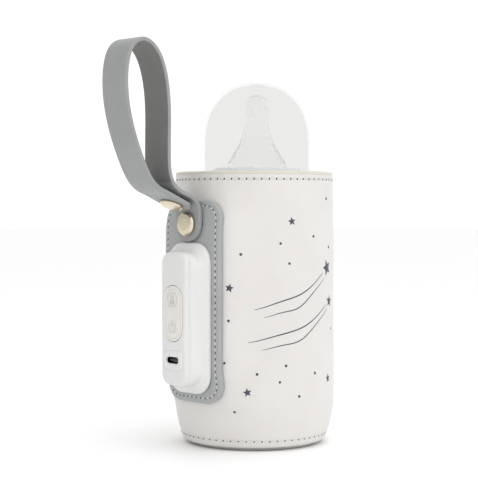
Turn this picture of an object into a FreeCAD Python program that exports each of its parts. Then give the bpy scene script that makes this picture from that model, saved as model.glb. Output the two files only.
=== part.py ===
"""Portable bottle warmer: a padded heated sleeve with a control box, a snap strap and a feeding bottle.

Frame: millimetres, +Z up, origin at the centre of the base on the sleeve's axis.
The control box faces -Y.  Every sub-part is one object of the document, sized from the sheet "dims".
"""
import FreeCAD, Part
import math
import os
import Sketcher

V = FreeCAD.Vector
X_AXIS = V(1, 0, 0)
OUTWARD = 90          # rotation about X that turns a part's own +Z to -Y, out of the control box

# alias, value in mm (or degrees), meaning
DIMS = [
    ("sleeve_top", 147.6, "height of the sleeve's rim"),
    ("sleeve_rad", 43.8, "outer radius of the sleeve at mid height"),
    ("rim_rad", 43.1, "outer radius of the sleeve at the rim"),
    ("foot_rad", 38.8, "outer radius of the sleeve at its bottom edge"),
    ("foot_z", 2.0, "height of the skin's bottom edge above the floor"),
    ("taper_top", 27.0, "height where the taper meets the straight wall"),
    ("taper_arc", 65.0, "radius of the taper's arc in profile"),
    ("skin_thick", 1.2, "thickness of the outer skin"),
    ("bore_rad", 34.5, "radius of the sleeve's inside"),
    ("lining_thick", 1.0, "thickness of the lining"),
    ("film_thick", 0.6, "thickness of the heater film"),
    ("layer_gap", 0.05, "gap between layers of the wall"),
    ("flat_y", 44.5, "distance of the sleeve's flat panel from the axis"),
    ("flat_half", 22.5, "half width of the flat panel"),
    ("flat_root_y", 24.87, "distance from the axis where the flat's flanks leave the round wall"),
    ("flat_root_half", 36.05, "half width there"),
    ("patch_low", 25.4, "bottom of the patch"),
    ("patch_high", 132.0, "top of the patch"),
    ("patch_width", 45.0, "width of the patch"),
    ("patch_round", 11.0, "corner radius of the patch"),
    ("patch_layer", 1.3, "thickness of each of the patch's two layers"),
    ("case_low", 30.4, "bottom of the control box"),
    ("case_high", 109.8, "top of the control box"),
    ("case_width", 31.4, "width of the control box at its base"),
    ("case_round", 10.5, "corner radius at its base"),
    ("face_round", 7.3, "corner radius of its front face"),
    ("face_width", 19.5, "width of its front face"),
    ("face_inset", 6.5, "how far the front face ends inside the base, top and bottom"),
    ("face_y", 59.8, "distance of the front face from the axis"),
    ("case_wall", 1.6, "wall of the control box"),
    ("pad_z", 73.0, "height of the button pad's centre"),
    ("pad_width", 14.5, "width of the pill-shaped button pad"),
    ("pad_height", 29.0, "height of the button pad"),
    ("key_gap", 0.25, "gap around each key"),
    ("usb_z", 48.6, "height of the charging socket"),
    ("usb_wide", 8.94, "outer width of the socket's metal shell"),
    ("usb_tall", 3.16, "outer height of the socket's metal shell"),
    ("lead_z", 92.0, "height of the heater leads' passage"),
    ("rivet_z", 119.6, "height of the strap's rivet"),
    ("cap_rad", 6.25, "radius of the rivet cap and the snap cap"),
    ("cap_thick", 2.4, "thickness of both caps"),
    ("strap_width", 18.6, "width of the strap"),
    ("strap_thick", 2.2, "thickness of the strap"),
    ("tab_y", 47.5, "distance of the strap tab's back face from the axis"),
    ("fold_z", 125.3, "height of the bend above the rivet"),
    ("snap_y", 60.0, "distance of the snap's centre from the axis, in the free end's middle plane"),
    ("snap_z", 131.2, "height of the snap's centre, in the free end's middle plane"),
    ("snap_tilt", 22.5, "slope of the free end below the horizontal, in degrees"),
    ("snap_gap", 2.2, "gap between the two strap layers at the snap"),
    ("flap_back", 17.5, "from the snap's centre back to the free end's bend"),
    ("flap_tip", 8.2, "from the snap's centre to the free end's tip"),
    ("bend_gap", 0.7, "clear length of strap each side of a bend"),
    ("bottle_y", 1.9, "the bottle stands this far off the sleeve's axis"),
    ("bottle_low", 10.4, "height of the bottle's base"),
    ("bottle_rad", 32.2, "outer radius of the bottle"),
    ("bottle_wall", 1.6, "wall of the bottle"),
    ("shoulder_z", 118.0, "height where the bottle's shoulder starts"),
    ("neck_rad", 25.6, "outer radius of the neck"),
    ("neck_top", 142.6, "height of the neck's mouth"),
    ("collar_low", 130.5, "bottom of the screw collar"),
    ("collar_rad", 31.2, "outer radius of the collar's skirt"),
    ("ledge_z", 143.0, "height of the collar's ledge, which carries the dome"),
    ("collar_top", 149.8, "top of the collar"),
    ("boss_rad", 27.9, "outer radius of the collar above the ledge"),
    ("dome_rad", 29.6, "outer radius of the dome cap"),
    ("dome_shoulder", 165.0, "height where the dome starts to round over"),
    ("dome_top", 196.7, "top of the dome"),
    ("dome_wall", 1.3, "wall of the dome"),
    ("teat_rad", 16.0, "outer radius of the teat's flange above the collar"),
    ("tip_rad", 6.85, "outer radius of the teat's tip"),
    ("teat_top", 190.0, "top of the teat"),
    ("teat_wall", 1.5, "wall of the teat"),
]

doc = FreeCAD.newDocument("bottle_warmer")
sheet = doc.addObject("Spreadsheet::Sheet", "dims")
for row, (alias, number, meaning) in enumerate(DIMS, start=1):
    sheet.set("A%d" % row, str(number))
    sheet.setAlias("A%d" % row, alias)
    sheet.set("B%d" % row, meaning)
doc.recompute()
parts = {}


# ---------------------------------------------------------------- helpers
def value(expression):
    """The number that an expression of the sheet's aliases has now."""
    return float(sheet.evalExpression(str(expression)))


def bind(obj, prop, expression):
    """Bind a property to an expression written with the sheet's bare aliases."""
    obj.setExpression(prop, qualified(str(expression)))


def qualified(expression):
    """Put the sheet's name before each alias in an expression."""
    words = []
    word = ""
    for char in expression + " ":
        if char.isalnum() or char in "_.":
            word += char
            continue
        words.append("dims." + word if word in ALIASES else word)
        words.append(char)
        word = ""
    return "".join(words).strip()


ALIASES = {alias for alias, _, _ in DIMS}


def keep(name, obj):
    """Name an object as a sub-part: its label is its file's name."""
    obj.Label = name
    parts[name] = obj
    return obj


def new_body(name):
    return doc.addObject("PartDesign::Body", name)


def new_sketch(body, name, role, offset="0"):
    """A sketch on one of the body's own origin planes, moved along the plane's normal."""
    sketch = body.newObject("Sketcher::SketchObject", name)
    plane = next(o for o in body.Origin.OriginFeatures if o.Role == role)
    sketch.AttachmentSupport = [(plane, "")]
    sketch.MapMode = "FlatFace"
    bind(sketch, "AttachmentOffset.Base.z", offset)
    return sketch


def datum(sketch, kind, geometry, point, expression):
    """Fix a point's distance from the sketch's origin by an expression."""
    number = value(expression)
    index = sketch.addConstraint(Sketcher.Constraint(kind, -1, 1, geometry, point, number))
    bind(sketch, "Constraints[%d]" % index, expression)


def arc_between(start, end, radius, side):
    """The short arc from start to end; side 1 puts its centre to the left, -1 to the right."""
    chord = end - start
    left = V(-chord.y, chord.x, 0).normalize()
    reach = math.sqrt(max(radius ** 2 - (chord.Length / 2) ** 2, 0))
    centre = start + chord * 0.5 + left * (side * reach)
    first, last = (start, end) if side > 0 else (end, start)
    angles = [math.atan2(p.y - centre.y, p.x - centre.x) for p in (first, last)]
    return Part.ArcOfCircle(Part.Circle(centre, V(0, 0, 1), radius), angles[0], angles[1])


def outline(sketch, vertices, arcs=None):
    """A closed outline through vertices, given as pairs of expressions.

    arcs maps a segment's number to (radius, side); the other segments are straight.
    """
    arcs = arcs or {}
    points = [V(value(x), value(y), 0) for x, y in vertices]
    count = len(points)
    ends = []
    for i, start in enumerate(points):
        end = points[(i + 1) % count]
        if i in arcs:
            radius, side = arcs[i]
            sketch.addGeometry(arc_between(start, end, value(radius), side), False)
            ends.append((1, 2) if side > 0 else (2, 1))
        else:
            sketch.addGeometry(Part.LineSegment(start, end), False)
            ends.append((1, 2))
    for i in range(count):
        after = (i + 1) % count
        sketch.addConstraint(Sketcher.Constraint("Coincident", i, ends[i][1], after, ends[after][0]))
    for i, (x, y) in enumerate(vertices):
        datum(sketch, "DistanceX", i, ends[i][0], x)
        datum(sketch, "DistanceY", i, ends[i][0], y)
    for i, (radius, _) in arcs.items():
        index = sketch.addConstraint(Sketcher.Constraint("Radius", i, value(radius)))
        bind(sketch, "Constraints[%d]" % index, radius)
    return sketch


def rounded(sketch, low_x, low_y, high_x, high_y, radius):
    """A rectangle with equal round corners, given by its low and high corner."""
    x_in = ["%s + %s" % (low_x, radius), "%s - %s" % (high_x, radius)]
    y_in = ["%s + %s" % (low_y, radius), "%s - %s" % (high_y, radius)]
    vertices = [(x_in[0], low_y), (x_in[1], low_y), (high_x, y_in[0]), (high_x, y_in[1]),
                (x_in[1], high_y), (x_in[0], high_y), (low_x, y_in[1]), (low_x, y_in[0])]
    return outline(sketch, vertices, {i: (radius, 1) for i in (1, 3, 5, 7)})


def circle(sketch, x, y, radius):
    """One circle whose centre and radius are bound to expressions."""
    geometry = sketch.addGeometry(Part.Circle(V(value(x), value(y), 0), V(0, 0, 1), value(radius)), False)
    datum(sketch, "DistanceX", geometry, 3, x)
    datum(sketch, "DistanceY", geometry, 3, y)
    index = sketch.addConstraint(Sketcher.Constraint("Radius", geometry, value(radius)))
    bind(sketch, "Constraints[%d]" % index, radius)
    return sketch


def pad(body, sketch, length, reverse=False):
    """Extrude a sketch along its plane's normal."""
    feature = body.newObject("PartDesign::Pad", sketch.Name + "_pad")
    feature.Profile = sketch
    bind(feature, "Length", length)
    feature.Reversed = reverse
    body.Tip = feature
    return body


def turned(name, vertices, arcs=None, centre_y="0"):
    """A body turned about a vertical axis; vertices are (radius, height)."""
    body = new_body(name)
    sketch = outline(new_sketch(body, name + "_profile", "XZ_Plane"), vertices, arcs)
    feature = body.newObject("PartDesign::Revolution", name + "_turn")
    feature.Profile = sketch
    feature.ReferenceAxis = (sketch, ["V_Axis"])
    feature.Angle = 360
    body.Tip = feature
    bind(body, "Placement.Base.y", centre_y)
    return body


def plate(name, low, high, radius, back, thick):
    """A rounded plate facing -Y: low and high are (x, z), back is its near distance from the axis."""
    body = new_body(name)
    sketch = new_sketch(body, name + "_outline", "XZ_Plane", back)
    rounded(sketch, low[0], low[1], high[0], high[1], radius)
    return pad(body, sketch, thick)


def place(obj, x="0", y="0", z="0", about_x=None):
    """Put an object at (x, y, z), turned about X by an angle in degrees or an expression."""
    if about_x is not None:
        obj.Placement = FreeCAD.Placement(V(0, 0, 0), FreeCAD.Rotation(X_AXIS, value(about_x)))
        bind(obj, "Placement.Rotation.Angle", about_x)
    for axis, expression in (("x", x), ("y", y), ("z", z)):
        bind(obj, "Placement.Base." + axis, expression)
    return obj


def rod(name, radius, length, x="0", y="0", z="0", about_x=None):
    """A cylinder that starts at (x, y, z) and runs along its own +Z."""
    obj = doc.addObject("Part::Cylinder", name)
    bind(obj, "Radius", radius)
    bind(obj, "Height", length)
    return place(obj, x, y, z, about_x)


def block(name, size, corner):
    """A box with its low corner at corner."""
    obj = doc.addObject("Part::Box", name)
    for prop, expression in zip(("Length", "Width", "Height"), size):
        bind(obj, prop, expression)
    return place(obj, *corner)


def fuse(name, shapes):
    obj = doc.addObject("Part::MultiFuse", name)
    obj.Shapes = shapes
    return obj


def cut(name, base, tools):
    """Base less every tool, one after the other."""
    for number, tool in enumerate(tools):
        step = doc.addObject("Part::Cut", "%s_%d" % (name, number))
        step.Base = base
        step.Tool = tool
        base = step
    return base


def disc_cap(name, y, z, about_x):
    """A domed metal cap with a bevelled edge; its back is at (0, y, z), its front along its own +Z."""
    body = turned(name, [
        ("0", "0"), ("cap_rad - 0.5", "0"), ("cap_rad", "0.5"), ("cap_rad", "cap_thick - 1.2"),
        ("cap_rad - 0.8", "cap_thick - 0.35"), ("cap_rad - 2.4", "cap_thick"), ("0", "cap_thick")])
    return place(body, "0", y, z, about_x)


# ---------------------------------------------------------------- the sleeve's wall
def wall_solid(name, inset, top_drop, bottom_rise):
    """The sleeve's outer form, drawn in by inset: a round wall with a flat, sloped panel on -Y."""
    side = "sleeve_rad - %s" % inset
    foot = "foot_rad - %s" % inset
    low = "foot_z + %s" % bottom_rise
    top = "sleeve_top - %s" % top_drop
    round_wall = turned(name + "_round", [
        ("0", low), (foot, low), (side, "taper_top"), (side, "sleeve_top - 45"),
        ("rim_rad - %s" % inset, top), ("0", top)], {1: ("taper_arc", 1)})
    panel = doc.addObject("Part::Wedge", name + "_panel")
    for prop, expression in {
            "Xmin": "-flat_root_half", "Xmax": "flat_root_half",
            "Zmin": "patch_low - 6", "Zmax": "patch_high + 8",
            "X2min": "-flat_half + %s" % inset, "X2max": "flat_half - %s" % inset,
            "Z2min": "patch_low", "Z2max": "patch_high",
            "Ymin": "flat_root_y - 2 * %s" % inset, "Ymax": "flat_y - %s" % inset}.items():
        bind(panel, prop, expression)
    # The wedge's small face is at its Ymax; turned half round Z it looks to -Y.
    panel.Placement = FreeCAD.Placement(V(0, 0, 0), FreeCAD.Rotation(V(0, 0, 1), 180))
    return fuse(name, [round_wall, panel])


def lead_hole():
    """The passage of the heater's leads, from the heater film out into the control box."""
    return rod("lead_hole", "3.6", "30", y="-(bore_rad + lining_thick + film_thick + 0.1)",
               z="lead_z", about_x=OUTWARD)


def rivet_hole(name, radius, start, length):
    return rod(name, radius, length, y="-(%s)" % start, z="rivet_z", about_x=OUTWARD)


def make_sleeve(passage):
    """Skin, foam, heater film, lining, binding and the floor layers."""
    outside = wall_solid("skin_outside", "0", "1.6", "0")
    inside = wall_solid("skin_inside", "skin_thick", "-1", "skin_thick")
    floor_hole = rod("skin_floor_hole", "foot_rad - 3", "6")
    skin_rivet = rivet_hole("skin_rivet_hole", "2.1", "40", "10")
    keep("outer_sleeve", cut("skin", outside, [inside, floor_hole, passage, skin_rivet]))

    filling = wall_solid("foam_outside", "(skin_thick + 3 * layer_gap)", "2.6", "2.6")
    film_out = "bore_rad + lining_thick + film_thick + 2 * layer_gap"
    core = rod("foam_bore", film_out, "sleeve_top", z="-1")
    board_space = plate("board_space", ("-20.6", "27.4"), ("20.6", "129.6"), "8", "flat_y - 3.1", "2")
    washer_space = rivet_hole("washer_space", "5.4", "38.5", "7")
    bead_space = rod("bead_space", "1.6", "9", y="-(bore_rad + 3)", x="-9", z="63.5")
    keep("insulation_foam",
         cut("foam", filling, [core, passage, board_space, washer_space, bead_space]))

    film_in = "bore_rad + lining_thick + layer_gap"
    film = cut("film", rod("film_outside", film_in + " + film_thick", "118", z="16"),
               [rod("film_inside", film_in, "120", z="15")])
    keep("heater_film", film)
    lining = cut("lining", rod("lining_outside", "bore_rad + lining_thick", "sleeve_top - 8.6", z="6.2"),
                 [rod("lining_inside", "bore_rad", "sleeve_top", z="5")])
    keep("inner_lining", lining)

    binding = turned("binding", [
        ("bore_rad + 0.1", "sleeve_top - 2"), ("rim_rad", "sleeve_top - 1.5"), ("rim_rad", "sleeve_top - 0.6"),
        ("rim_rad - 0.7", "sleeve_top"), ("bore_rad + 0.8", "sleeve_top"), ("bore_rad + 0.1", "sleeve_top - 0.6")])
    keep("top_binding", binding)

    panel = turned("panel", [
        ("0", "0"), ("foot_rad - 4.2", "0"), ("foot_rad - 3.1", "0.8"), ("foot_rad - 3.1", "3.1"), ("0", "3.1")])
    keep("base_panel", panel)
    keep("base_pad", turned("pad_disc", [
        ("0", "3.2"), ("bore_rad - 0.4", "3.2"), ("bore_rad - 0.4", "8.6"), ("0", "8.6")]))
    keep("floor_lining", turned("floor_disc", [
        ("0", "8.7"), ("bore_rad - 0.1", "8.7"), ("bore_rad - 0.1", "9.7"), ("0", "9.7")]))


def make_heater_parts():
    """The temperature sensor, the leads and the bush that they run through."""
    keep("temperature_sensor", rod("bead", "1.3", "8", x="-9", y="-(bore_rad + 3)", z="64"))
    reach = "face_y - 7.7 - (bore_rad + lining_thick + film_thick + 0.2)"
    start = "-(bore_rad + lining_thick + film_thick + 0.2)"
    wires = [rod("lead_%d" % side, "0.7", reach, x=str(1.3 * side), y=start, z="lead_z", about_x=OUTWARD)
             for side in (-1, 1)]
    keep("heater_leads", fuse("leads", wires))
    bush = cut("bush", rod("bush_outside", "3.5", "6.9", y="-40.2", z="lead_z", about_x=OUTWARD),
               [rod("bush_inside", "2.4", "12", y="-39", z="lead_z", about_x=OUTWARD)])
    keep("lead_grommet", bush)


# ---------------------------------------------------------------- the patch
def make_patch(passage):
    """The stiffener under the skin and the patch's two leather layers on top of it."""
    board = plate("board", ("-20.5", "27.5"), ("20.5", "129.5"), "8", "flat_y - 3", "1.7")
    board_hole = rivet_hole("board_rivet_hole", "2.1", "38", "10")
    keep("stiffener_board", cut("stiffener", board, [passage, board_hole]))
    for name, inset, start in (("patch_core", "0.3", "flat_y + 0.02"),
                               ("patch_face", "0", "flat_y + 0.04 + patch_layer")):
        layer = plate(name + "_plate", ("-patch_width / 2 + " + inset, "patch_low + " + inset),
                      ("patch_width / 2 - " + inset, "patch_high - " + inset),
                      "(patch_round - %s)" % inset, start, "patch_layer")
        hole = rivet_hole(name + "_rivet_hole", "2.1", "40", "12")
        keep(name, cut(name + "_cut", layer, [passage, hole]))


# ---------------------------------------------------------------- the control box
def case_solid(name, inset, back, front):
    """The control box's form between two distances from the axis, drawn in by inset."""
    body = new_body(name)
    sections = []
    for share, distance in ((0.0, back), (0.1, "%s + 0.16 * (%s - %s)" % (back, front, back)),
                            (0.62, "%s + 0.66 * (%s - %s)" % (back, front, back)), (1.0, front)):
        half = "(case_width / 2 - %g * (case_width - face_width) / 2 - %s)" % (share, inset)
        rise = "(%g * face_inset + 2 * %s)" % (share, inset)
        radius = "(case_round - %g * (case_round - face_round) - %s)" % (share, inset)
        sketch = new_sketch(body, "%s_%d" % (name, len(sections)), "XZ_Plane", distance)
        rounded(sketch, "-" + half, "case_low + " + rise, half, "case_high - " + rise, radius)
        sections.append(sketch)
    loft = body.newObject("PartDesign::AdditiveLoft", name + "_loft")
    loft.Profile = sections[0]
    loft.Sections = sections[1:]
    loft.Ruled = False
    body.Tip = loft
    return body


def pill(name, grow, back, thick):
    """The pad's pill outline, made larger by grow."""
    half = "(pad_width / 2 + %s)" % grow
    rise = "(pad_height / 2 + %s)" % grow
    return plate(name, ("-" + half, "pad_z - " + rise), (half, "pad_z + " + rise),
                 "(pad_width / 2 + %s - 0.01)" % grow, back, thick)


def make_case():
    """The moulded front, its back plate and the screws that hold them together."""
    back = "(flat_y + 0.1 + 2 * patch_layer)"
    outside = case_solid("case_outside", "0", back, "face_y")
    hollow = case_solid("case_hollow", "case_wall", back + " - 0.5", "(face_y - case_wall)")
    surround = plate("usb_surround", ("-7.4", "usb_z - 5.2"), ("7.4", "usb_z + 5.2"), "2.4", "face_y - 1", "1.45")
    scoops = [rod("scoop_%d" % number, "3.4", "34", x="0", y="0", z="0") for number in (0, 1)]
    for scoop, height in zip(scoops, ("case_high + 1.7", "case_low - 1.7")):
        scoop.Placement = FreeCAD.Placement(V(0, 0, 0), FreeCAD.Rotation(V(0, 1, 0), 90))
        bind(scoop, "Placement.Base.x", "-17")
        bind(scoop, "Placement.Base.y", "-(flat_y + 2 * patch_layer + 4.9)")
        bind(scoop, "Placement.Base.z", height)
    key_hole = pill("key_hole", "key_gap", "face_y - 4", "6")
    usb_hole = plate("usb_hole", ("-usb_wide / 2 - 0.15", "usb_z - usb_tall / 2 - 0.15"),
                     ("usb_wide / 2 + 0.15", "usb_z + usb_tall / 2 + 0.15"), "1.6", "face_y - 4", "8")
    shell = cut("case", fuse("case_form", [outside, surround]), [hollow] + scoops + [key_hole, usb_hole])
    posts = []
    holes = []
    screws = []
    for x in (-7.2, 7.2):
        for z in ("case_low + 9.5", "case_high - 9.5"):
            number = len(posts)
            posts.append(rod("post_%d" % number, "2", "8.5", x=str(x), y="-(%s + 2.9)" % back, z=z, about_x=OUTWARD))
            holes.append(rod("post_hole_%d" % number, "0.9", "7", x=str(x), y="-(%s + 2.8)" % back, z=z,
                             about_x=OUTWARD))
            head = rod("head_%d" % number, "1.7", "1.2", x=str(x), y="-(%s + 0.2)" % back, z=z, about_x=OUTWARD)
            shank = rod("shank_%d" % number, "0.88", "7.5", x=str(x), y="-(%s + 1.3)" % back, z=z, about_x=OUTWARD)
            screws.append(fuse("screw_%d" % number, [head, shank]))
    keep("case_front", cut("case_bosses", fuse("case_posts", [shell] + posts), holes))

    lid = plate("lid", ("-case_width / 2 + 3.6", "case_low + 5.5"), ("case_width / 2 - 3.6", "case_high - 5.5"),
                "7", back + " + 0.05", "2.7")
    lid_holes = []
    for number, screw in enumerate(screws):
        x = str(-7.2 if number < 2 else 7.2)
        z = "case_low + 9.5" if number % 2 == 0 else "case_high - 9.5"
        lid_holes.append(rod("lid_bore_%d" % number, "1.8", "1.45", x=x, y="-" + back, z=z, about_x=OUTWARD))
        lid_holes.append(rod("lid_hole_%d" % number, "1.0", "5", x=x, y="-" + back, z=z, about_x=OUTWARD))
    lid_lead = rod("lid_lead_hole", "2.6", "12", y="-40", z="lead_z", about_x=OUTWARD)
    keep("case_back", cut("back_cut", lid, lid_holes + [lid_lead]))
    keep("case_screws", fuse("screws", screws))


def make_electronics():
    """The circuit board, its switches and parts, and the charging socket."""
    board_back = "(face_y - 7.6)"
    keep("circuit_board", plate("pcb_plate", ("-8.4", "case_low + 14"), ("8.4", "case_high - 14"), "1",
                                board_back, "1.2"))
    front = "(face_y - 6.35)"
    switches = []
    for number, height in enumerate(("pad_z + pad_height / 4", "pad_z - pad_height / 4")):
        base = plate("switch_%d" % number, ("-2.6", "%s - 2.6" % height), ("2.6", "%s + 2.6" % height), "0.4",
                     front, "1.7")
        stem = rod("stem_%d" % number, "1.2", "0.7", y="-(%s + 1.7)" % front, z=height, about_x=OUTWARD)
        switches.append(fuse("tact_%d" % number, [base, stem]))
    keep("tact_switches", fuse("tacts", switches))
    chips = [plate("chip_0", ("-5", "usb_z + 4.2"), ("0", "usb_z + 8.2"), "0.3", front, "1.1"),
             plate("chip_1", ("1.5", "usb_z + 3.6"), ("5.5", "usb_z + 8.4"), "0.3", front, "2.6")]
    keep("board_parts", fuse("chips", chips))
    wide = "usb_wide / 2"
    tall = "usb_tall / 2"
    tube = plate("usb_outer", ("-" + wide, "usb_z - " + tall), (wide, "usb_z + " + tall), "1.5", front, "6.3")
    mouth = plate("usb_mouth", ("-%s + 0.3" % wide, "usb_z - %s + 0.3" % tall),
                  ("%s - 0.3" % wide, "usb_z + %s - 0.3" % tall), "1.25", front + " + 1.2", "7")
    keep("usb_shell", cut("usb", tube, [mouth]))
    keep("usb_tongue", plate("tongue", ("-3.35", "usb_z - 0.35"), ("3.35", "usb_z + 0.35"), "0.3",
                             front + " + 1.25", "4.3"))


def make_buttons():
    """Two silicone keys that share one pill outline, and the gasket behind the front."""
    back = "(face_y - case_wall - 0.95)"
    ring = cut("gasket", pill("gasket_plate", "0.7", back, "0.85"), [pill("gasket_hole", "key_gap", "40", "30")])
    keep("button_gasket", ring)
    for name, z_low, stem_z in (("mode_button", "pad_z + key_gap / 2", "pad_z + pad_height / 4"),
                                ("power_button", "pad_z - 30 - key_gap / 2", "pad_z - pad_height / 4")):
        half = block(name + "_half", ("20", "12", "30"), ("-10", "-face_y - 6", z_low))
        key = pill(name + "_pill", "0", back + " + 0.1", "2.95")
        shape = doc.addObject("Part::Common", name + "_key")
        shape.Base = key
        shape.Tool = half
        stem = rod(name + "_stem", "1.6", "0.6", y="-(%s - 0.45)" % back, z=stem_z, about_x=OUTWARD)
        keep(name, fuse(name + "_joined", [shape, stem]))


# ---------------------------------------------------------------- the strap
def strap_strip(route, width, thick):
    """A strap of constant width along a smooth route of (y, z) points, its middle plane on the route."""
    faces = []
    for side in (-0.5, 0.5):
        edge = []
        for i, (y, z) in enumerate(route):
            before = route[max(i - 1, 0)]
            after = route[min(i + 1, len(route) - 1)]
            along = V(0, after[0] - before[0], after[1] - before[1]).normalize()
            edge.append(V(-width / 2, y - along.z * side * thick, z + along.y * side * thick))
        curve = Part.BSplineCurve()
        curve.interpolate(edge)
        faces.append(curve)
    near, far = faces
    rims = [near.toShape(), Part.makeLine(near.EndPoint, far.EndPoint), far.toShape(),
            Part.makeLine(far.StartPoint, near.StartPoint)]
    return Part.Face(Part.Wire(Part.sortEdges(rims)[0])).extrude(V(width, 0, 0))


def snap_frame():
    """The snap's centre in the free end's middle plane, the way along it to its tip, and its face's normal."""
    tilt = math.radians(value("snap_tilt"))
    centre = V(0, -value("snap_y"), value("snap_z"))
    return centre, V(0, math.cos(tilt), -math.sin(tilt)), V(0, -math.sin(tilt), -math.cos(tilt))


def loop_route():
    """Points of the loop's middle line as (y, z): up from the rivet, over the top, down to the free end."""
    centre, along, down = snap_frame()
    tab = -(value("tab_y") + value("strap_thick") / 2)
    base = value("fold_z")
    stud = centre - down * (value("strap_thick") + value("snap_gap"))
    flap_bend = centre - along * (value("flap_back") + value("bend_gap"))
    lower = [(tab, base + value("bend_gap")), (tab - 0.6, base + 3.1), (tab - 2.2, base + 5.7)]
    at_snap = [(p.y, p.z) for p in (stud + along * 5, stud, stud - along * 5)]
    upper = [(-66.9, 140.6), (-69.4, 146.0), (-70.1, 153), (-70.0, 168), (-70.2, 182), (-71.6, 193),
             (-75.0, 203.6), (-80.4, 210.5), (-87.2, 212.9), (-93.4, 210.0), (-97.0, 203.0), (-98.3, 194),
             (-97.9, 184), (-95.6, 172.4), (-90.2, 157.5), (-86.2, 149.2), (-82.0, 142.6)]
    return lower + at_snap + upper + [(flap_bend.y, flap_bend.z)]


def make_strap():
    """Riveted tab, loop and free end, with the rivet and the four pieces of the snap."""
    half = "strap_width / 2"
    tab = new_body("tab")
    sketch = new_sketch(tab, "tab_outline", "XZ_Plane", "tab_y")
    outline(sketch, [("-" + half, "rivet_z"), (half, "rivet_z"), (half, "fold_z - bend_gap"),
                     ("-" + half, "fold_z - bend_gap")], {0: (half + " + 0.0001", 1)})
    pad(tab, sketch, "strap_thick")
    keep("strap_tab", cut("tab_cut", tab, [rivet_hole("tab_hole", "2.06", "45", "8")]))

    keep("rivet_post", rivet_hole("post", "2", "flat_y - 4.4", "tab_y + strap_thick + 4.7 - flat_y"))
    keep("rivet_washer", rivet_hole("washer", "5", "flat_y - 5.5", "1.05"))
    keep("rivet_cap", disc_cap("rivet_disc", "-(tab_y + strap_thick + 0.31)", "rivet_z", OUTWARD))

    loop = doc.addObject("Part::Feature", "loop")
    loop.Shape = strap_strip(loop_route(), value("strap_width"), value("strap_thick"))
    keep("strap_loop", loop)
    make_free_end()


def tilted(obj, along, off):
    """Put an object on the snap's slope: along the strap to its tip, and off its middle plane, downwards.

    The object's own +Z then points out of the free end's lower face.
    """
    run = "(%s)" % along
    drop = "(%s)" % off
    y = "-snap_y + %s * cos(snap_tilt * 1deg) - %s * sin(snap_tilt * 1deg)" % (run, drop)
    z = "snap_z - %s * sin(snap_tilt * 1deg) - %s * cos(snap_tilt * 1deg)" % (run, drop)
    return place(obj, "0", y, z, "180 - snap_tilt")


def snap_rod(name, radius, start, length):
    """A cylinder on the snap's axis, from start below the free end's middle plane, downwards."""
    obj = doc.addObject("Part::Cylinder", name)
    bind(obj, "Radius", radius)
    bind(obj, "Height", length)
    return tilted(obj, "0", start)


def make_free_end():
    """The strap's free end and its snap: cap and socket on it, stud and rear eyelet on the loop."""
    half = "strap_width / 2"
    flap = new_body("flap")
    sketch = new_sketch(flap, "flap_outline", "XY_Plane", "-strap_thick / 2")
    corner = "6"
    outline(sketch, [
        ("-" + half, "flap_back - bend_gap"), ("-" + half, "-(flap_tip - %s)" % corner),
        ("-%s + %s" % (half, corner), "-flap_tip"), ("%s - %s" % (half, corner), "-flap_tip"),
        (half, "-(flap_tip - %s)" % corner), (half, "flap_back - bend_gap")],
        {1: (corner, 1), 3: (corner, 1)})
    pad(flap, sketch, "strap_thick")
    tilted(flap, "0", "0")
    keep("strap_flap", cut("flap_cut", flap, [snap_rod("flap_hole", "2.1", "-5", "10")]))

    face = "strap_thick / 2"
    disc = disc_cap("snap_disc", "0", "0", "180 - snap_tilt")
    tilted(disc, "0", face + " + 0.02")
    shank = snap_rod("snap_shank", "2", "-" + face, "strap_thick + 0.1")
    keep("snap_cap", fuse("snap_cap_form", [disc, shank]))
    socket = snap_rod("socket_form", "4.6", "-(%s + 1.25)" % face, "1.2")
    keep("snap_socket", cut("socket_cut", socket, [snap_rod("socket_bore", "2.4", "-(%s + 3)" % face, "2.8")]))

    over = "(%s + snap_gap)" % face
    plate_form = snap_rod("stud_plate", "4.4", "-(%s - 0.2)" % over, "0.4")
    knob = snap_rod("stud_knob", "1.9", "-(%s - 0.2)" % over, "1.2")
    keep("snap_stud", fuse("stud_form", [plate_form, knob]))
    eyelet = snap_rod("eyelet_form", "4.4", "-(%s + strap_thick + 0.9)" % over, "0.7")
    keep("snap_eyelet", cut("eyelet_cut", eyelet, [snap_rod("eyelet_hole", "1.6", "-20", "16")]))


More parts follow.
